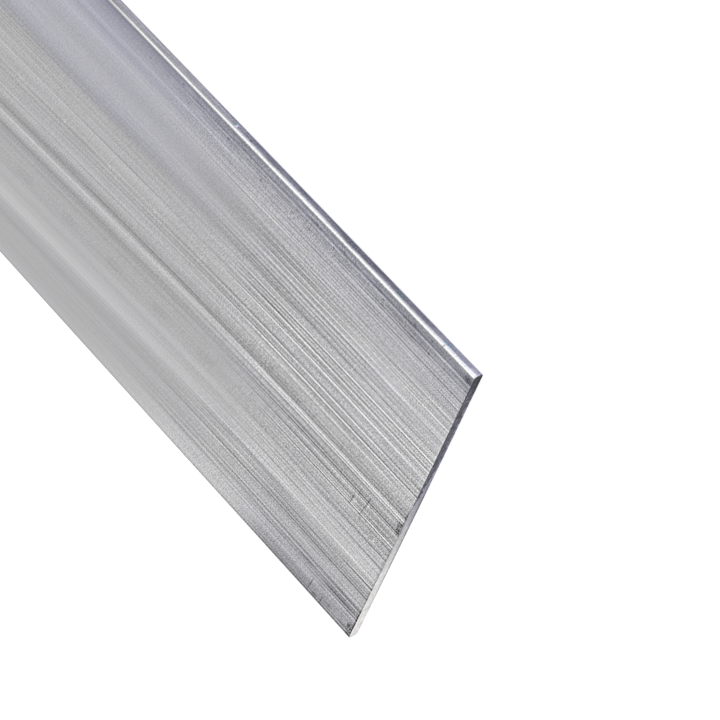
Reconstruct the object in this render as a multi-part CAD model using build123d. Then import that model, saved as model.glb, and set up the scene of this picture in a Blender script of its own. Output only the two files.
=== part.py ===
from build123d import *
import os

# Aluminium flat bar: one piece, pressed through a flat die and sawn off square at both ends.
# X runs along the bar, Y across its width and Z up. The origin is the centre of the underside.

bar_length = 1000.0  # one retail length
bar_width = 60.0
bar_thickness = 2.0
edge_radius = 0.5  # rounding that the die gives all four long edges

# The rounding can't take up more of the narrow sides than this share of the thickness.
largest_rounding_share = 0.45


def bar_section():
    """The opening of the die, across the bar: a flat rectangle with rounded corners that stands on Z = 0."""
    rounding = min(edge_radius, largest_rounding_share * bar_thickness)
    return Plane.YZ * RectangleRounded(
        bar_width,
        bar_thickness,
        rounding,
        align=(Align.CENTER, Align.MIN),
    )


def flat_bar():
    """The section drawn out along X, half to each side of the origin. Both sawn ends are flat and sharp."""
    return extrude(bar_section(), amount=bar_length / 2, both=True)


os.makedirs("parts", exist_ok=True)
export_step(flat_bar(), "parts/flat_bar.step")
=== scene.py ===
import math
import random

import bmesh
import bpy
from mathutils import Matrix, Vector


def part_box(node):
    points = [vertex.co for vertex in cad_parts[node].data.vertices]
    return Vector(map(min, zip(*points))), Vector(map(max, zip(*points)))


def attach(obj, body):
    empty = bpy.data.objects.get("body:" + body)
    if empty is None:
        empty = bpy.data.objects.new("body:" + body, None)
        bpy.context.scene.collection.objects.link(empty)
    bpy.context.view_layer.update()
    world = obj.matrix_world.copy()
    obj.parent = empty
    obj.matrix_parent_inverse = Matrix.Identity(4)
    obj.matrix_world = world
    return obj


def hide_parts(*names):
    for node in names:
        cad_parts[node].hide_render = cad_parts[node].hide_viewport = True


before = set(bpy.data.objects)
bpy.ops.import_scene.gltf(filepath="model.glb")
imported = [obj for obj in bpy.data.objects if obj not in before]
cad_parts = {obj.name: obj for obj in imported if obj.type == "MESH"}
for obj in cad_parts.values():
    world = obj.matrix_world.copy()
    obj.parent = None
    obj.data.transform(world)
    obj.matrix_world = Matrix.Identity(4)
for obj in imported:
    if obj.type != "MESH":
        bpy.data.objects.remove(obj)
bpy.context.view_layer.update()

# ---------------------------------------------------------------------------------- the camera
# A long lens looks down on one sawn end from beside the bar, rolled so that the bar runs from the
# upper left of the picture to its lower right.
mm = 0.001
camera_place = Vector((-713.09, -381.8, 370.9)) * mm
camera_aim = Vector((-480.16, -15.06, 2.0)) * mm
camera_roll = math.radians(-111.11)
camera_lens = 185.13

camera_data = bpy.data.cameras.new("camera")
camera_data.sensor_width = 36.0
camera_data.lens = camera_lens
camera_data.clip_start = 0.01
camera_data.clip_end = 100.0
camera = bpy.data.objects.new("camera", camera_data)
bpy.context.scene.collection.objects.link(camera)
camera_look = (camera_aim - camera_place).to_track_quat("-Z", "Y").to_matrix().to_4x4()
camera.matrix_world = Matrix.Translation(camera_place) @ camera_look @ Matrix.Rotation(camera_roll, 4, "Z")
bpy.context.scene.camera = camera

# ------------------------------------------------------------------------------------- the bar
# Aluminium flat bar, one piece. It was pressed hot through a flat die, which rounds its long edges
# and draws fine lines down every side, and then sawn off square at both ends. Nothing was done to it
# since, so it keeps its mill finish.
#
# The bar is worked out in millimetres. "along" is the distance from the end that the camera sees,
# "across" is the CAD's Y, and "girth" is the distance round the section from the middle of the upper
# face, so that the die's lines stay at one girth however they drift.
bar_low, bar_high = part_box("flat_bar")
bar_length, bar_width, bar_thickness = (bar_high - bar_low) / mm
bar_middle = (bar_low + bar_high) / (2 * mm)

edge_radius = 0.5
edge_facets = 8
flat_half = bar_width / 2 - edge_radius
edge_arc = edge_radius * math.pi / 2
side_flat = bar_thickness - 2 * edge_radius
side_girth = 2 * edge_arc + side_flat

# The lines that the die cut or scored deepest. Each has its place across the upper face, its tone,
# which is how much lighter (a ridge) or darker (a groove) than the face it is in display levels out of
# 255, and where along the bar it starts and ends.
whole = bar_length
main_lines = [
    (-28.3, -46, 0, 70), (-27.45, -38, 0, 62), (-26.6, -28, 0, 46), (-25.95, -50, 0, 32),
    (-25.4, 30, 0, 60), (-24.75, 28, 0, 60), (-24.3, -60, 0, 12), (-24.3, -30, 12, 66),
    (-22.95, 44, 20, 56), (-20.3, 30, 0, 16), (-19.95, -34, 0, 50), (-18.3, 32, 0, 40),
    (-17.15, 34, 12, 46), (-16.05, 46, 8, 46), (-15.75, -44, 16, 40), (-12.85, -40, 0, 60),
    (-12.1, 46, 0, 46), (-11.05, 66, 0, 49), (-10.7, -80, 0, 48), (-9.4, -62, 0, 48), (-8.95, 56, 0, 42),
    (-8.2, -40, 0, 46), (-7.35, 36, 4, 52), (-6.9, -36, 0, 46), (-5.0, -50, 0, 72), (-4.65, 36, 0, 44),
    (-3.5, -56, 0, 90), (-3.15, 44, 0, 40), (-2.7, -38, 5, 40), (-1.6, 34, 4, 36), (0.9, -38, 0, 40),
    (2.3, 76, 0, 38), (2.85, 46, 0, 38), (5.1, -90, 0, 42), (5.85, 42, 0, 36), (7.25, 34, 0, 40),
    (8.15, 84, 0, 44), (8.45, -40, 0, 34), (11.4, -50, 0, 9), (12.8, 34, 0, 30), (13.65, -38, 0, 18),
    (16.55, 60, 0, 32), (17.9, 60, 0, 7), (18.2, -50, 0, 7), (19.5, -50, 0, 8), (20.7, -54, 0, 44),
    (21.05, 64, 28, 56), (23.8, -46, 0, 27), (25.1, -64, 0, 29), (26.0, 26, 0, 34), (28.85, -34, 0, 30),
    # The line at 29.38, along the far long edge, is sunk as a groove, and its dark tone is painted shade
    # beside the rounded edge.
    (29.38, -80, 0, 30), (29.38, -30, 30, whole),
]
main_half_width = 0.13
# Broad bands, lighter or darker than the face: where each starts, peaks and ends across the face, and
# its tone up to band_near, at band_middle and from band_far on along the bar. The first two, dark along
# the long edge near -30, are painted shade beside the rounded edge's highlight.
bands = [
    (-30.5, -28.4, -26.0, -32, -26, -28), (-29.8, -29.3, -28.8, -36, -34, -56),
    (-28.3, -27.95, -27.5, 24, 18, 8), (-27.2, -26.3, -25.4, -14, 4, -9),
    (-25.4, -24.4, -23.6, -18, -11, -12), (-23.8, -22.0, -20.2, 4, 18, 10),
    (-20.2, -18.9, -17.6, 4, -8, -2), (-19.4, -17.6, -16.2, 4, -14, 1), (-17.6, -16.4, -15.0, 9, 2, 2),
    (-16.2, -14.9, -13.6, -10, 0, -2), (-14.6, -12.8, -11.9, 5, -12, -16), (-12.2, -11.2, -9.6, 13, 3, 2),
    (-11.2, -10.3, -9.6, 11, 18, -4), (-9.4, -7.6, -6.0, 15, 8, 8), (-6.8, -5.6, -4.7, 14, 8, 4),
    (-5.1, -4.1, -2.9, -9, -9, 0), (-3.0, -1.9, -0.7, 9, 11, 9), (-1.1, -0.5, 0.1, -7, -5, -6),
    (0.0, 0.55, 1.2, 11, 9, 0), (-0.1, 1.3, 2.2, -11, -20, -22), (1.8, 2.6, 4.2, 4, 19, 18),
    (3.7, 4.8, 6.4, -27, -8, -20), (5.6, 6.8, 8.2, -8, 1, -5), (8.4, 10.1, 11.4, -27, -2, -19),
    (11.0, 12.5, 13.6, 4, 16, 6), (12.8, 16.3, 18.2, 14, 17, 17), (17.6, 19.7, 22.0, -27, -7, -9),
    (21.4, 22.6, 23.4, 6, 9, 2), (22.8, 23.5, 24.1, -9, -11, -2), (22.8, 24.8, 27.2, -25, -1, 0),
    (24.8, 26.8, 28.4, -8, 17, -1), (27.0, 28.9, 30.4, -18, 22, 5),
]
band_near, band_middle, band_far = 12.0, 36.0, 80.0
far_tone = -4.0

# Fine lines between them, no two alike.
chance = random.Random(4)
fine_line_count = 30
upper_spread, under_spread = 20.0, 22.0
upper_lines = [(place, main_half_width, tone, start, end) for place, tone, start, end in main_lines]
for number in range(fine_line_count):
    place = chance.uniform(-flat_half, flat_half)
    half_width = chance.uniform(0.09, 0.13)
    upper_lines.append((place, half_width, chance.gauss(0.0, upper_spread), 0.0, whole))
under_lines = []
for number in range(fine_line_count):
    place = chance.uniform(-flat_half, flat_half)
    half_width = chance.uniform(0.1, 0.2)
    under_lines.append((place, half_width, chance.gauss(0.0, under_spread), 0.0, whole))
# The lines down a narrow side: height, half width, tone, start and end.
side_lines = [
    (0.62, 0.08, 8, 0, whole), (0.8, 0.1, -8, 0, whole), (1.0, 0.12, 6, 0, whole), (1.25, 0.1, -8, 0, whole),
    (1.45, 0.1, 6, 0, whole),
]
# The rounded edges and narrow sides carry painted light and shade: a painted highlight along the upper
# rounded edge and painted shade, for dark reflections, down the narrow side, both changing along the bar.
# Distance down from the upper face round the section, and the tone near the end, further on and past that.
painted_side_levels = [
    (0.00, -20, -22, -24), (0.12, 1, 5, 6), (0.40, 51, 57, 56), (0.54, 55, 45, -6),
    (0.70, 60, 8, -28), (0.90, 2, -49, -21), (1.10, -44, -78, -25), (1.50, -29, -78, -10),
    (1.90, -39, -74, -40), (side_girth, -36, -65, -47),
]
# Painted shade on the rounded edge along the far long edge, fading down its narrow side.
back_edge_shade = -42.0

relief_base = 0.008  # how far the plain face lies under the highest ridges
relief_for_tone = 0.00018  # a ridge's height for each display level


def soft_step(value, start, end):
    """0 up to start, 1 from end on, and smooth between."""
    share = min(1.0, max(0.0, (value - start) / (end - start)))
    return share * share * (3.0 - 2.0 * share)


def between(share, low, high):
    """low at 0, high at 1, and straight between."""
    return low + (high - low) * share


# A line has a shallow one of the other kind along each side. Distance from its middle in half widths,
# and the share of its tone there.
line_profile = [(0.0, 1.0), (2.0, -0.35), (3.0, 0.0)]


def line_share(off):
    """Share of a line's tone at a distance from its middle, in half widths."""
    for (start, tone_start), (end, tone_end) in zip(line_profile, line_profile[1:]):
        if off <= end:
            return between((off - start) / (end - start), tone_start, tone_end)
    return 0.0


def lines_at(lines, place):
    """The lines that pass one place across a face: their tone there, and where they start and end."""
    reach = line_profile[-1][0]
    return [(tone * line_share(abs(place - middle) / half_width), start, end)
            for middle, half_width, tone, start, end in lines if abs(place - middle) < reach * half_width]


def line_tone(passing, along):
    """What those lines add to the tone at one distance along the bar."""
    fade = 4.0
    level = 0.0
    for tone, start, end in passing:
        begun = 1.0 if start <= 0 else soft_step(along, start - fade, start + fade)
        not_over = 1.0 if end >= whole else soft_step(along, end + fade, end - fade)
        level += tone * begun * not_over
    return level


def band_tone(across, along):
    """What the broad bands add to the tone at one place on the upper face."""
    further = soft_step(along, band_near, band_middle)
    last = soft_step(along, band_middle, band_far)
    level = far_tone * further
    for start, peak, end, tone_near, tone_middle, tone_far in bands:
        height = soft_step(across, start, peak) if across < peak else soft_step(across, end, peak)
        level += height * between(last, between(further, tone_near, tone_middle), tone_far)
    return level


def drift(across, along):
    """How far the lines have moved sideways. They start straight, swing over and slowly come back."""
    swing_start, swing_end, swing = 22.0, 148.0, 4.3
    back_start = swing_end + 50.0
    way_out = soft_step(along, swing_start, swing_end)
    way_back = soft_step(along, bar_length, back_start)
    free = soft_step(across, -22.0, 0.0) * soft_step(across, flat_half, 18.0)
    return swing * way_out * way_back * free


def streak_strength(across, height, along):
    """How strongly the lines show: most near the seen end, less further on, and least on the sides."""
    dip = soft_step(abs(across - 10.0), 9.0, 4.0)
    edge = soft_step(across, -21.0, -24.0)
    near = soft_step(along, 60.0 - 16.0 * dip + 22.0 * edge, 34.0 - 12.0 * dip + 14.0 * edge)
    centre = soft_step(abs(across), 17.0, 9.0)
    corner = soft_step(across, 12.0, 20.0) * soft_step(along, 28.0, 14.0)
    middle = soft_step(abs(across + 4.0), 12.0, 6.0)
    rest = 0.1 + 0.2 * middle
    later = soft_step(along, 110.0, 220.0) * (0.35 + 0.2 * math.sin(along / 70.0))
    on_side = soft_step(abs(height - bar_thickness / 2), bar_thickness / 2, bar_thickness / 2 - 0.2)
    fresh = soft_step(across, 5.0, 10.0) * soft_step(along, 12.0, 4.0)
    closer = 0.78 + 0.04 * centre + 0.06 * corner + 0.2 * fresh
    return (closer * near + (1.0 - near) * (rest + later)) * (1.0 - 0.7 * on_side)


def girth_at(from_middle, height):
    """Distance round the section from the middle of the upper face to a place, which is given by how far
    it lies from the bar's middle line, towards the side that is meant, and by its height."""
    out = from_middle - flat_half
    if height > bar_thickness - edge_radius:
        if out <= 0.0:
            return flat_half + out
        return flat_half + edge_radius * math.atan2(out, height - bar_thickness + edge_radius)
    if height >= edge_radius:
        return flat_half + edge_arc + bar_thickness - edge_radius - height
    if out > 0.0:
        return flat_half + edge_arc + side_flat + edge_radius * math.atan2(edge_radius - height, out)
    return flat_half + side_girth - out


# The blank: a plain block with its four long edges rounded.
bar_mesh = bmesh.new()
bmesh.ops.create_cube(bar_mesh, size=1.0)
bmesh.ops.scale(bar_mesh, vec=(bar_length, bar_width, bar_thickness), verts=bar_mesh.verts)
bmesh.ops.translate(bar_mesh, vec=bar_middle, verts=bar_mesh.verts)
long_edges = [edge for edge in bar_mesh.edges if edge.calc_length() > bar_length / 2]
bmesh.ops.bevel(bar_mesh, geom=long_edges, offset=edge_radius, affect="EDGES",
                segments=edge_facets, profile=0.5, material=-1)


def cut_along(facing, place, direction):
    """Cut the faces that look one way with a plane that runs along the bar."""
    straight = 0.9999
    faces = [face for face in bar_mesh.faces if face.normal.dot(facing) > straight]
    edges = {edge for face in faces for edge in face.edges}
    corners = {corner for face in faces for corner in face.verts}
    bmesh.ops.bisect_plane(bar_mesh, geom=faces + list(edges) + list(corners), dist=0.001,
                           plane_co=place, plane_no=direction)


# Each line gets a cut at its middle and two at each side, so that it can stand up or lie deep.
up = Vector((0, 0, 1))
sideways = Vector((0, 1, 0))
for lines, facing in ((upper_lines, up), (under_lines, -up)):
    for middle, half_width, *_ in lines:
        for off, share in line_profile:
            for place in {middle - off * half_width, middle + off * half_width}:
                if abs(place) < flat_half:
                    cut_along(facing, sideways * place, sideways)
for middle, *_ in side_lines:
    for facing in (sideways, -sideways):
        cut_along(facing, up * middle, up)

# Rings round the bar: close together at the sawn ends, and then evenly spaced, with twice as many on
# the first few steps.
ring_step = 12.5
end_rings = [0.0, 0.25, 0.6, 1.2, 2.5, 5.0, 8.5]
even_rings = [ring_step * number for number in range(1, int(bar_length / ring_step))]
even_rings += [ring_step * (number + 0.5) for number in range(1, 5)]
bake_change = 105.0  # the picture of the finish is sharper up to here
rings = end_rings + even_rings + [bake_change] + [bar_length - place for place in end_rings]
rings.sort()
long_edges = [edge for edge in bar_mesh.edges if edge.calc_length() > bar_length / 2]
bmesh.ops.subdivide_edges(bar_mesh, edges=long_edges, cuts=len(rings) - 2, use_grid_fill=True)
for vertex in bar_mesh.verts:
    share = (vertex.co.x + bar_length / 2) / bar_length
    vertex.co.x = rings[round(share * (len(rings) - 1))] - bar_length / 2

# What the finish reads from the mesh, taken before anything is moved.
girth_layer = bar_mesh.loops.layers.float.new("girth")
bake_layer = bar_mesh.loops.layers.uv.new("OFBake")
tone_layer = bar_mesh.verts.layers.float.new("die_tone")
strength_layer = bar_mesh.verts.layers.float.new("streak_strength")

# The picture of the finish is laid out in strips: the upper face, the underside, the two narrow
# sides and the two ends, each with its lowest and highest share of the picture's height.
half_side = edge_arc / 2
upper_strip = (0.003, 0.462)
under_strip = (0.470, 0.900)
side_strips = {-1: (0.906, 0.930), 1: (0.936, 0.960)}
end_strip = (0.966, 0.996)
near_share = 0.42  # of the picture's width, up to bake_change
end_share = 0.49  # of the picture's width, for each end
rim = 0.001  # kept free along the picture's edge
half_strip = flat_half + half_side


def bake_place(along):
    """Where a distance along the bar falls across the picture."""
    if along <= bake_change:
        return between(along / bake_change, rim, near_share)
    return between((along - bake_change) / (bar_length - bake_change), near_share, 1.0 - rim)


def faces_end(face):
    """Whether a face looks along the bar."""
    return abs(face.normal.x) > 0.5


for face in bar_mesh.faces:
    middle = face.calc_center_median()
    side = -1 if middle.y < 0 else 1
    middle_girth = girth_at(abs(middle.y), middle.z)
    upper = middle_girth < half_strip
    under = middle_girth > flat_half + side_girth - half_side
    for corner in face.loops:
        x, y, z = corner.vert.co
        girth = girth_at(side * y, z)
        corner[girth_layer] = side * girth
        u = bake_place(x + bar_length / 2)
        if faces_end(face):
            first = rim if face.normal.x < 0 else 1.0 - end_share
            u = between(y / bar_width + 0.5, first, first + end_share - rim)
            v = between(z / bar_thickness, *end_strip)
        elif upper:
            v = between(0.5 + side * girth / (2 * half_strip), *upper_strip)
        elif under:
            rest = half_strip - (girth - flat_half - side_girth + half_side)
            v = between(0.5 + side * rest / (2 * half_strip), *under_strip)
        else:
            v = between((girth - half_strip) / (side_girth - 2 * half_side), *side_strips[side])
        corner[bake_layer].uv = (u, v)


def side_tone(girth, across, along):
    """Tone of the rounded edges and narrow sides, with their painted highlight and painted shade."""
    down = girth - flat_half
    row = max(number for number, levels in enumerate(painted_side_levels[:-1]) if levels[0] <= down + 0.001)
    start, near_start, middle_start, far_start = painted_side_levels[row]
    end, near_end, middle_end, far_end = painted_side_levels[row + 1]
    share = (down - start) / (end - start)
    near = between(share, near_start, near_end)
    middle = between(share, middle_start, middle_end)
    far = between(share, far_start, far_end)
    if across > 0:
        return middle + back_edge_shade * soft_step(down, 1.2, 0.4)
    # Painted highlight: a glint on the narrow side right by the cut, and a lighter patch of it about 26 mm
    # along.
    near += 38.0 * soft_step(along, 3.0, 1.4) * soft_step(down, 0.6, 0.9) * soft_step(down, 1.9, 1.3)
    middle += 16.0 * soft_step(abs(along - 26.0), 2.0, 9.0) * soft_step(down, 0.5, 0.9)
    # Up to about 9 mm from the cut the tones near the end are used, with their wider painted highlight and
    # lighter narrow side.
    toward_cut = soft_step(along, 10.8, 8.6)
    coming_and_going = soft_step(along, 110.0, 160.0) * math.sin(along / 60.0) ** 2
    later = soft_step(along, 53.0, 66.0) * (1.0 - coming_and_going)
    return between(toward_cut, between(later, middle, far), near)


under_share = 0.7  # the bands are weaker on the underside, and lie the other way round
least_strength = 0.05
passing = {}
for vertex in bar_mesh.verts:
    x, y, z = vertex.co
    along = x + bar_length / 2
    girth = girth_at(abs(y), z)
    upper = girth <= flat_half
    under = girth >= flat_half + side_girth
    lines, place = (side_lines, z)
    if upper or under:
        lines, place = (upper_lines if upper else under_lines, y)
    spot = (upper, under, round(place, 4))
    if spot not in passing:
        passing[spot] = lines_at(lines, place)
    strength = streak_strength(y, z, along)
    tone = line_tone(passing[spot], along)
    vertex[strength_layer] = strength
    if upper or under:
        tone *= least_strength + strength
        sunk = max(0.0, relief_base - relief_for_tone * tone)
        vertex.co.z += -sunk if upper else sunk
    if upper:
        tone += band_tone(y, along)
    elif under:
        tone += under_share * band_tone(-y, along)
    else:
        tone += side_tone(girth, y, along)
    vertex[tone_layer] = tone
    vertex.co.y += drift(y, along)

# The saw went in a little out of square. It left a thin burr round each end, and the edge of the
# upper face ragged, with one deeper nick beside a strong ridge.
burr_width = 0.08
burr_height = 0.05
out_of_square = 0.1
bow = 0.08
ragged = 0.09
nick_middle, nick_half_width, nick_depth = 3.6, 1.1, 0.22
end_faces = [face for face in bar_mesh.faces if faces_end(face)]
bmesh.ops.inset_individual(bar_mesh, faces=end_faces, thickness=burr_width, depth=-burr_height,
                           use_even_offset=True)
for vertex in bar_mesh.verts:
    from_end = bar_length / 2 - abs(vertex.co.x)
    if from_end > end_rings[1]:
        continue
    inward = out_of_square * (1.0 - vertex.co.z / bar_thickness)
    inward += bow * (2 * vertex.co.y / bar_width) ** 2
    if from_end < 0.001 and vertex.co.z > bar_thickness - 0.1:
        from_nick = abs(vertex.co.y - nick_middle)
        inward += ragged * chance.random() ** 2 * soft_step(vertex.co.y, -20.0, 15.0)
        inward += nick_depth * chance.random() * soft_step(from_nick, nick_half_width, 0.0)
    vertex.co.x -= math.copysign(inward, vertex.co.x)

for face in bar_mesh.faces:
    face.smooth = not faces_end(face)
    face.material_index = 1 if faces_end(face) else 0
bmesh.ops.scale(bar_mesh, vec=(mm, mm, mm), verts=bar_mesh.verts)

bar_data = bpy.data.meshes.new("bar")
bar_mesh.to_mesh(bar_data)
bar_mesh.free()
bar = bpy.data.objects.new("bar", bar_data)
bpy.context.scene.collection.objects.link(bar)


def node(tree, kind, values=(), **settings):
    """A new shader node. Each value goes to one socket: another node's socket is linked to it."""
    made = tree.nodes.new("ShaderNode" + kind)
    for name, setting in settings.items():
        setattr(made, name, setting)
    for socket, value in dict(values).items():
        if isinstance(value, bpy.types.NodeSocket):
            tree.links.new(value, made.inputs[socket])
        else:
            made.inputs[socket].default_value = value
    return made


def calc(tree, operation, *terms):
    """A sum on sockets and plain numbers."""
    return node(tree, "Math", dict(enumerate(terms)), operation=operation).outputs[0]


def total(tree, *terms):
    """All terms added up."""
    result = terms[0]
    for term in terms[1:]:
        result = calc(tree, "ADD", result, term)
    return result


def product(tree, *terms):
    """All terms multiplied together."""
    result = terms[0]
    for term in terms[1:]:
        result = calc(tree, "MULTIPLY", result, term)
    return result


def ease(tree, value, start, end, low=0.0, high=1.0):
    """low up to start, high from end on, and smooth between."""
    limits = {"Value": value, "From Min": start, "From Max": end, "To Min": low, "To Max": high}
    return node(tree, "MapRange", limits, interpolation_type="SMOOTHSTEP").outputs["Result"]


def stretched(tree, long_way, run, short_way, pitch, seed=0.0):
    """Where a place lies in a pattern whose cells are one run long and one pitch wide."""
    return node(tree, "CombineXYZ", {
        "X": calc(tree, "DIVIDE", long_way, run), "Y": calc(tree, "DIVIDE", short_way, pitch), "Z": seed,
    }).outputs[0]


def noise(tree, place, scale, detail):
    """Cloudy noise around 0.5."""
    return node(tree, "TexNoise", {"Vector": place, "Scale": scale, "Detail": detail}).outputs[0]


def cells(tree, place):
    """A pattern of cells, with the distance from each one's middle and a colour by chance."""
    return node(tree, "TexVoronoi", {"Vector": place, "Scale": 1.0}, voronoi_dimensions="2D")


def streaks(tree, along, girth, run, pitch, seed):
    """Uneven lines along the bar, about one pitch apart and one run long, between -1 and 1."""
    place = stretched(tree, along, run, girth, pitch, seed)
    return calc(tree, "MULTIPLY_ADD", noise(tree, place, 1.0, 1.0), 2.0, -1.0)


def paired_streaks(tree, along, girth, run, pitch, seed):
    """Uneven lines along the bar, each light one with a dark one beside it."""
    beside = streaks(tree, along, calc(tree, "ADD", girth, pitch), run, pitch, seed)
    return calc(tree, "SUBTRACT", streaks(tree, along, girth, run, pitch, seed), beside)


def hairlines(tree, along, girth, run, pitch, seed):
    """Thin lines with clear metal between them, 1 on a line and 0 beside it."""
    half_line = 0.13
    off_line = calc(tree, "ABSOLUTE", streaks(tree, along, girth, run, pitch, seed))
    return ease(tree, off_line, half_line, 0.0)


def smudge(tree, along, girth, place, half_size, turn, level):
    """An oval mark: level at its middle, fading out to nothing at its rim."""
    full_share = 0.35
    spot = node(tree, "CombineXYZ", {"X": along, "Y": girth}).outputs[0]
    values = {"Vector": spot, "Location": (*place, 0.0), "Rotation": (0.0, 0.0, math.radians(turn)),
              "Scale": (*half_size, 1.0)}
    local = node(tree, "Mapping", values, vector_type="TEXTURE").outputs[0]
    out = node(tree, "VectorMath", {0: local}, operation="LENGTH").outputs["Value"]
    return ease(tree, out, 1.0, full_share, 0.0, level)


def bare_metal(tree, red, green, blue, roughness):
    """Bare metal, with its colour given in display levels from 0 to 255. Returns its shader."""
    levels = {"Red": red, "Green": green, "Blue": blue}
    shares = {name: calc(tree, "DIVIDE", level, 255.0) for name, level in levels.items()}
    shown = node(tree, "CombineColor", shares).outputs[0]
    color = node(tree, "Gamma", {"Color": shown, "Gamma": 2.2}).outputs[0]
    shader = tree.nodes["Principled BSDF"]
    tree.links.new(color, shader.inputs["Base Color"])
    shader.inputs["Metallic"].default_value = 1.0
    shader.inputs["Roughness"].default_value = roughness
    return shader


# Mill finish: bare metal, streaked along its length.
mill_tone = 179.0
mill_red_cast, mill_blue_cast = 0.4, 1.5
mill_roughness = 0.3
bump_for_level = 0.0000003  # metres
mill = bpy.data.materials.new("mill_finish")
mill.use_nodes = True
tree = mill.node_tree
position = node(tree, "TexCoord").outputs["Object"]
apart = node(tree, "SeparateXYZ", {0: position})
along = calc(tree, "MULTIPLY_ADD", apart.outputs["X"], 1 / mm, bar_length / 2)
girth = node(tree, "Attribute", attribute_name="girth").outputs["Fac"]
die_tone = node(tree, "Attribute", attribute_name="die_tone").outputs["Fac"]
strength = node(tree, "Attribute", attribute_name="streak_strength").outputs["Fac"]

# Place across the wide face, the same on the upper face and on the underside.
half_round = 2 * flat_half + side_girth
either_way = calc(tree, "ABSOLUTE", girth)
from_middle = calc(tree, "MINIMUM", either_way, calc(tree, "SUBTRACT", half_round, either_way))
face_place = product(tree, from_middle, calc(tree, "SIGN", girth))
# 1 on the narrow side that the camera sees, and 0 elsewhere.
narrow = product(tree, ease(tree, girth, -30.0, -30.4), ease(tree, girth, -32.4, -32.1))

# Lines too fine for the mesh, each kind with its strength in levels.
hair = product(tree, paired_streaks(tree, along, girth, run=160.0, pitch=0.3, seed=1.0), 44.0)
fine = product(tree, paired_streaks(tree, along, girth, run=120.0, pitch=0.4, seed=2.0), 20.0)
short = product(tree, streaks(tree, along, girth, run=9.0, pitch=0.3, seed=8.0), 26.0)
coarse = product(tree, streaks(tree, along, girth, run=90.0, pitch=1.3, seed=3.0), 6.0)
broad = product(tree, streaks(tree, along, girth, run=200.0, pitch=6.0, seed=4.0), 6.0)
bright_hairs = product(tree, hairlines(tree, along, girth, run=90.0, pitch=0.7, seed=5.0), 26.0)
dark_hairs = product(tree, hairlines(tree, along, girth, run=90.0, pitch=0.7, seed=6.0), -28.0)
patches = calc(tree, "MULTIPLY_ADD", streaks(tree, along, girth, run=24.0, pitch=2.4, seed=9.0), 0.6, 1.0)
calm_edges = ease(tree, from_middle, 25.5, 27.5, 1.0, 0.5)
patchy = product(tree, strength, patches, calm_edges)
drawn = product(tree, total(tree, hair, fine, short, coarse, bright_hairs, dark_hairs), patchy)
texture = total(tree, drawn, broad)

# The die chattered at even steps along two of its lines: the place within a step, and where it shows.
chatter_step, chatter_start = 12.0, 43.0
from_start = calc(tree, "SUBTRACT", along, chatter_start)
step_place = calc(tree, "WRAP", from_start, chatter_step / 2, -chatter_step / 2)
chatter_stretch = product(tree, ease(tree, along, 34.0, 44.0), ease(tree, along, 180.0, 110.0))
sparks = smudge(tree, step_place, girth, (0.0, -5.4), (0.4, 0.25), 0, 22)
dull_spots = smudge(tree, step_place, girth, (4.0, 9.7), (3.4, 1.3), 0, -5)
chatter = product(tree, total(tree, sparks, dull_spots), chatter_stretch)

# The metal's own grain: small slanting flecks, each with a light and a dark side.
fleck_length, fleck_width, fleck_slant, fleck_side = 0.11, 0.22, 0.25, 0.18
dark_share = 0.45
mean_tone = (dark_share - 1.0) / 2


def fleck_tone(shift):
    """Tone of the fleck at a short shift along the bar, between 0 and 1."""
    slanted = calc(tree, "MULTIPLY_ADD", girth, -fleck_slant, calc(tree, "ADD", along, shift))
    flecks = cells(tree, stretched(tree, slanted, fleck_length, girth, fleck_width))
    return node(tree, "SeparateColor", {0: flecks.outputs["Color"]}).outputs[0]


# How strong the grain is, in levels. It fades away from the cut, less so on the narrow side.
far_edge = ease(tree, face_place, 9.0, 14.0)
near_edge = ease(tree, face_place, -7.0, -13.0)
first_stretch = ease(tree, along, 22.0, 14.0)
second_stretch = product(tree, ease(tree, along, 16.0, 23.0), ease(tree, along, 54.0, 46.0))
centre_stretch = product(tree, ease(tree, from_middle, 14.0, 10.0), ease(tree, along, 16.0, 23.0),
                         ease(tree, along, 44.0, 34.0))
far_stretch = product(tree, ease(tree, along, 64.0, 76.0), ease(tree, face_place, -13.0, -10.0),
                      ease(tree, face_place, 1.0, -2.0))
grain_depth = total(
    tree,
    calc(tree, "MULTIPLY_ADD", strength, 44.0, 20.0),
    product(tree, strength, ease(tree, from_middle, 16.0, 9.0, 0.0, 16.0)),
    product(tree, far_edge, first_stretch, -10.0),
    product(tree, near_edge, second_stretch, 8.0),
    product(tree, centre_stretch, 10.0),
    product(tree, far_stretch, -5.0),
    ease(tree, along, 60.0, 78.0, 0.0, -4.0),
    product(tree, narrow, 18.0),
    product(tree, far_edge, ease(tree, along, 44.0, 64.0), -12.0),
    product(tree, smudge(tree, step_place, girth, (0.0, -5.0), (3.0, 1.6), 0, 16), chatter_stretch),
)
dark_sides = product(tree, fleck_tone(fleck_side), -dark_share)
grain = product(tree, total(tree, fleck_tone(0.0), dark_sides, mean_tone), grain_depth)

# Small pits and short dull dashes in the strip beside the long edge, and blotches on the narrow side.
pit_apart, pit_length = 1.1, 1.5
pit_cells = cells(tree, stretched(tree, along, pit_apart * pit_length, girth, pit_apart))
pit_chance = node(tree, "SeparateColor", {0: pit_cells.outputs["Color"]}).outputs[1]
pit_zone = product(tree, ease(tree, girth, -25.4, -26.6), ease(tree, girth, -29.6, -29.2),
                   ease(tree, along, 90.0, 60.0))
pits = product(tree, ease(tree, pit_cells.outputs["Distance"], 0.26, 0.08), pit_zone,
               ease(tree, pit_chance, 0.6, 1.0, 0.0, -44.0))
dashes = product(tree, streaks(tree, along, girth, run=4.0, pitch=0.35, seed=11.0), pit_zone, 30.0)
side_blotch = product(tree, streaks(tree, along, girth, run=5.0, pitch=0.45, seed=10.0), narrow, 26.0)
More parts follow.
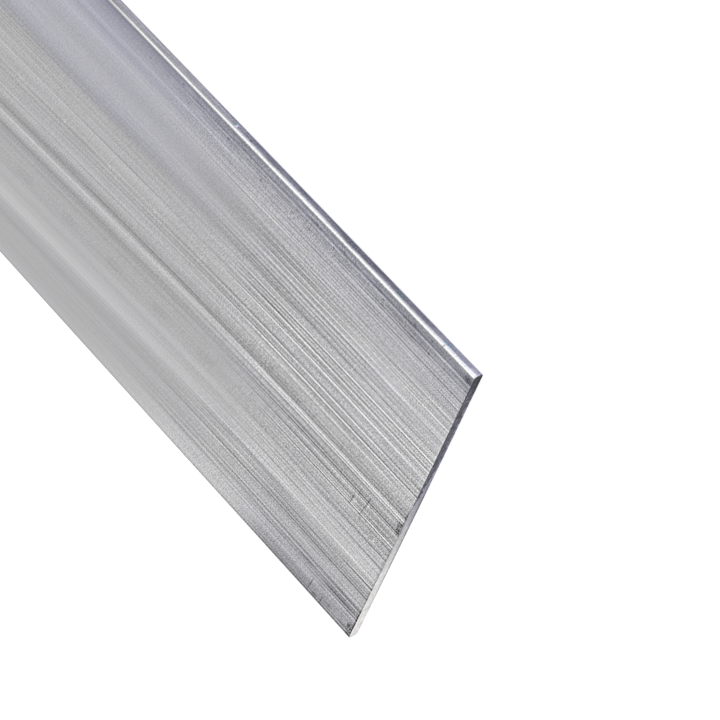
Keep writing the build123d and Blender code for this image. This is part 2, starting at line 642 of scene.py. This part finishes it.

# Nicks and smudges: place along and round the bar, half sizes, turn in degrees, tone. Some are painted
# light and shade: at the very edge of the cut (0.0 and 0.1 along) the dark ones are painted shadow beside
# the burr and the light one a painted glint on it; the long dark one at 57.0 is painted shade beside the
# long edge; round -30 the ones at 30.4, 40.5, 50.4 and 98.0 lighten, break and dim the edge's painted
# highlight, and the light tick at 58.8 is a painted glint on a nick.
marks = [
    ((7.6, 5.3), (0.17, 2.0), -8, -60), ((8.0, 7.8), (0.15, 1.8), -8, -44),
    ((7.2, 5.4), (0.16, 1.9), -8, 14), ((10.6, 7.4), (0.17, 1.8), -6, -60),
    ((9.75, 5.0), (0.15, 1.1), -4, -36), ((10.0, 7.1), (0.6, 0.8), 0, 24),
    ((10.9, 27.8), (0.18, 2.2), -8, -46), ((7.8, 28.6), (0.26, 1.4), -4, -36),
    ((9.4, 28.9), (0.9, 0.5), 0, -26), ((6.2, 28.2), (1.5, 0.4), 0, -24),
    ((2.6, 28.6), (1.4, 0.4), 0, -26), ((9.0, 26.3), (1.8, 0.35), 0, -20),
    ((3.7, 10.3), (0.35, 0.3), 0, 48), ((4.6, 25.05), (5.6, 0.45), 0, -34),
    ((12.5, 21.7), (3.6, 0.26), 0, -20), ((13.2, 24.6), (2.8, 0.36), 0, -22),
    ((14.5, -26.6), (6.5, 2.4), 0, -12), ((5.0, 26.0), (6.5, 3.2), 0, -5),
    ((17.0, 28.4), (15.0, 1.7), 0, -18), ((0.9, -28.6), (1.2, 1.0), 0, -40),
    ((0.0, 17.0), (0.5, 12.0), 0, -34), ((0.1, -12.0), (0.3, 11.5), 0, 22),
    ((57.0, -28.9), (10.0, 0.9), 0, -9), ((98.0, -29.95), (18.0, 0.5), 0, -34),
    ((0.5, 28.2), (1.2, 2.0), 0, -20), ((0.4, 4.1), (1.1, 1.9), 0, -22),
    ((0.1, 26.6), (0.36, 4.2), 2, -96), ((0.1, 1.7), (0.3, 2.4), 0, -60),
    ((7.45, -29.9), (0.3, 0.35), 0, -44), ((55.2, -30.5), (0.35, 0.3), 0, -45),
    ((58.8, -30.6), (0.35, 0.6), 0, 60), ((40.5, -30.35), (7.5, 0.4), 0, 20),
    ((30.4, -30.3), (2.4, 0.5), 0, -24), ((50.4, -30.3), (2.6, 0.4), 0, -20),
]
mark_tone = total(tree, *[smudge(tree, along, girth, *mark) for mark in marks])
# Crumbs of dirt at two places on the edge of the cut.
crumb_noise = noise(tree, position, 2800.0, 1.0)
crumb_places = calc(tree, "MAXIMUM", smudge(tree, along, girth, (0.4, 4.1), (1.2, 1.8), 0, 1.0),
                    smudge(tree, along, girth, (0.6, 28.4), (1.3, 1.9), 0, 1.0))
crumbs = product(tree, crumb_places, ease(tree, crumb_noise, 0.48, 0.6, 0.0, -90.0))
tone = total(tree, mill_tone, die_tone, texture, grain, pits, dashes, side_blotch, mark_tone, crumbs,
             chatter)

# The metal is painted a little blue as a reflection of bluish light: along the long edge, past the first
# stretch on that side, on the narrow side there and at the other corner. It is left off the rounded edge,
# whose painted highlight stays white.
blue_edge = total(
    tree,
    ease(tree, face_place, -11.5, -14.0, 0.0, 1.0),
    ease(tree, face_place, -20.5, -26.0, 0.0, 3.8),
    ease(tree, face_place, -26.5, -29.0, 0.0, 2.8),
)
blue_stretch = product(tree, ease(tree, face_place, -11.0, -15.0), ease(tree, along, 46.0, 84.0, 0.0, 5.6),
                       calc(tree, "SUBTRACT", 1.0, narrow))
blue_side = product(tree, narrow, ease(tree, along, 4.0, 12.0, 10.0, 6.5), ease(tree, along, 72.0, 56.0))
blue_corner = product(tree, ease(tree, face_place, 18.0, 26.0), ease(tree, along, 36.0, 26.0, 0.0, 1.8))
blue_patches = product(tree, streaks(tree, along, girth, run=25.0, pitch=4.0, seed=7.0), 3.0)
highlight_edge = product(tree, ease(tree, girth, -29.3, -29.7), ease(tree, girth, -30.4, -30.0))
blue_reflection = total(tree, blue_edge, blue_stretch, blue_side, blue_corner, blue_patches)
blue_reflection_shown = product(tree, blue_reflection, calc(tree, "SUBTRACT", 1.0, highlight_edge))
# Specks of oil on the narrow side, which take the red out.
oil = total(
    tree,
    smudge(tree, along, girth, (7.2, -30.6), (1.4, 0.45), 0, -20),
    smudge(tree, along, girth, (18.6, -30.8), (1.5, 0.6), 0, -14),
    smudge(tree, along, girth, (59.3, -30.5), (0.9, 0.6), 0, -13),
)
shader = bare_metal(tree, total(tree, tone, oil, mill_red_cast), tone,
                    total(tree, tone, blue_reflection_shown, mill_blue_cast), mill_roughness)
bump = node(tree, "Bump", {"Height": texture, "Distance": bump_for_level, "Strength": 1.0})
tree.links.new(bump.outputs[0], shader.inputs["Normal"])

# Sawn ends: bare metal, dark on one side of a slanting border and bright on the other, with fine
# scratches across it from the saw's teeth. The dark side's tone is painted shade, for dark surroundings
# seen in the smoother part of the cut.
sawn_roughness = 0.4
sawn = bpy.data.materials.new("sawn_end")
sawn.use_nodes = True
tree = sawn.node_tree
position = node(tree, "TexCoord").outputs["Object"]
apart = node(tree, "SeparateXYZ", {0: position})
across = product(tree, apart.outputs["Y"], 1 / mm)
height = product(tree, apart.outputs["Z"], 1 / mm)
place = node(tree, "VectorMath", {0: position, 1: (1 / mm, 1 / mm, 1 / mm)}, operation="MULTIPLY").outputs[0]
blotch = calc(tree, "SUBTRACT", noise(tree, place, 1.3, 3.0), 0.5)
specks = noise(tree, place, 2.8, 1.0)
scratch = calc(tree, "SUBTRACT", noise(tree, stretched(tree, across, 3.0, height, 0.22), 1.0, 3.0), 0.5)
border = calc(tree, "MULTIPLY_ADD", height, 6.1, -10.8)
past = calc(tree, "MULTIPLY_ADD", blotch, 8.0, calc(tree, "SUBTRACT", across, border))
bright = ease(tree, past, -1.2, 1.2)
light_tone = total(
    tree,
    ease(tree, across, -10.0, 18.0, 148.0, 222.0),
    product(tree, ease(tree, height, 1.45, 1.7), ease(tree, across, 6.0, 18.0, -4.0, 26.0)),
    product(tree, ease(tree, height, 0.62, 0.3), ease(tree, across, 26.0, 16.0, 0.0, -14.0)),
)
# Painted shade: the tone of the dark side.
dark_tone = total(
    tree,
    ease(tree, across, -29.5, -24.0, 50.0, 78.0),
    product(tree, ease(tree, height, 0.8, 0.3), ease(tree, across, -27.0, -22.5, -22.0, 32.0)),
    product(tree, blotch, 50.0),
    calc(tree, "MULTIPLY_ADD", specks, 130.0, -65.0),
)
# Darker strips along the upper edge, and a foot that goes from light to dark and partly back.
top_strip = product(tree, ease(tree, height, 1.35, 1.55), ease(tree, across, 0.0, -8.0, 0.0, -18.0))
top_line = product(tree, ease(tree, height, 1.7, 1.9), ease(tree, across, 0.0, 6.0, 0.0, -54.0))
off_patch = calc(tree, "ABSOLUTE", calc(tree, "SUBTRACT", across, 10.0))
top_patch = product(tree, ease(tree, height, 1.4, 1.6), ease(tree, off_patch, 9.0, 5.0, 0.0, -14.0))
foot_tone = total(tree, ease(tree, across, -8.0, -1.0, 34.0, -60.0),
                  ease(tree, across, 15.0, 21.0, 0.0, 45.0))
foot = product(tree, ease(tree, height, 0.25, 0.08), foot_tone)
tone = total(
    tree,
    dark_tone,
    product(tree, bright, calc(tree, "SUBTRACT", light_tone, dark_tone)),
    product(tree, blotch, 80.0),
    product(tree, scratch, 70.0),
    top_strip,
    top_line,
    top_patch,
    foot,
)
red = total(tree, tone, ease(tree, across, 14.0, 22.0, 0.0, 2.0))
blue = total(tree, tone, ease(tree, across, 12.0, -8.0, -1.0, 13.0),
             ease(tree, across, 18.0, 10.0, 0.0, 2.0))
bare_metal(tree, red, tone, blue, sawn_roughness)

bar_data.materials.append(mill)
bar_data.materials.append(sawn)
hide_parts("flat_bar")
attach(bar, "root")

# ----------------------------------------------------------------------------------- the floor
# A sheet of white paper under the bar. It keeps the bar's soft shadow, and shows white to the
# camera and in the metal.
floor_half = 15.0  # metres
floor_drop = 0.05 * mm  # keeps it clear of the bar's underside
paper_color = (0.8, 0.8, 0.8, 1.0)
seen_glow, mirrored_glow = 0.68, 0.5
floor_mesh = bmesh.new()
bmesh.ops.create_grid(floor_mesh, x_segments=1, y_segments=1, size=floor_half)
bmesh.ops.translate(floor_mesh, vec=(0, 0, -floor_drop), verts=floor_mesh.verts)
floor_data = bpy.data.meshes.new("floor")
floor_mesh.to_mesh(floor_data)
floor_mesh.free()
floor = bpy.data.objects.new("floor", floor_data)
bpy.context.scene.collection.objects.link(floor)

paper = bpy.data.materials.new("paper")
paper.use_nodes = True
tree = paper.node_tree
tree.nodes.clear()
ray = node(tree, "LightPath")
glow_seen = product(tree, ray.outputs["Is Camera Ray"], seen_glow)
glow_mirrored = product(tree, ray.outputs["Is Glossy Ray"], mirrored_glow)
glow = node(tree, "Emission", {"Strength": calc(tree, "MAXIMUM", glow_seen, glow_mirrored)})
matt = node(tree, "BsdfDiffuse", {"Color": paper_color})
both = node(tree, "AddShader", {0: matt.outputs[0], 1: glow.outputs[0]})
node(tree, "OutputMaterial", {"Surface": both.outputs[0]})
floor_data.materials.append(paper)

# ----------------------------------------------------------------------------- world and lamps
# An even white room, which is brighter to the camera and in the metal than as a lamp, and one square
# softbox, high up on the camera's side of the bar.
room_color = (1.0, 1.0, 1.0, 1.0)
room_lamp, room_seen = 0.6, 1.0
world = bpy.data.worlds.new("studio")
bpy.context.scene.world = world
world.use_nodes = True
tree = world.node_tree
ray = node(tree, "LightPath")
seen = calc(tree, "MAXIMUM", ray.outputs["Is Camera Ray"], ray.outputs["Is Glossy Ray"])
seen = calc(tree, "MAXIMUM", seen, ray.outputs["Is Transmission Ray"])
room = tree.nodes["Background"]
room.inputs["Color"].default_value = room_color
tree.links.new(calc(tree, "MULTIPLY_ADD", seen, room_seen - room_lamp, room_lamp), room.inputs["Strength"])

softbox_place = Vector((-0.2, -0.95, 1.3))
softbox_aim = Vector((-0.45, 0.0, 0.0))
softbox_side = 1.2
softbox_power = 3.2
softbox_data = bpy.data.lights.new("softbox", "AREA")
softbox_data.shape = "SQUARE"
softbox_data.size = softbox_side
softbox_data.energy = softbox_power
softbox = bpy.data.objects.new("softbox", softbox_data)
bpy.context.scene.collection.objects.link(softbox)
softbox_look = (softbox_aim - softbox_place).to_track_quat("-Z", "Y").to_matrix().to_4x4()
softbox.matrix_world = Matrix.Translation(softbox_place) @ softbox_look

bpy.context.scene.view_settings.view_transform = "Standard"
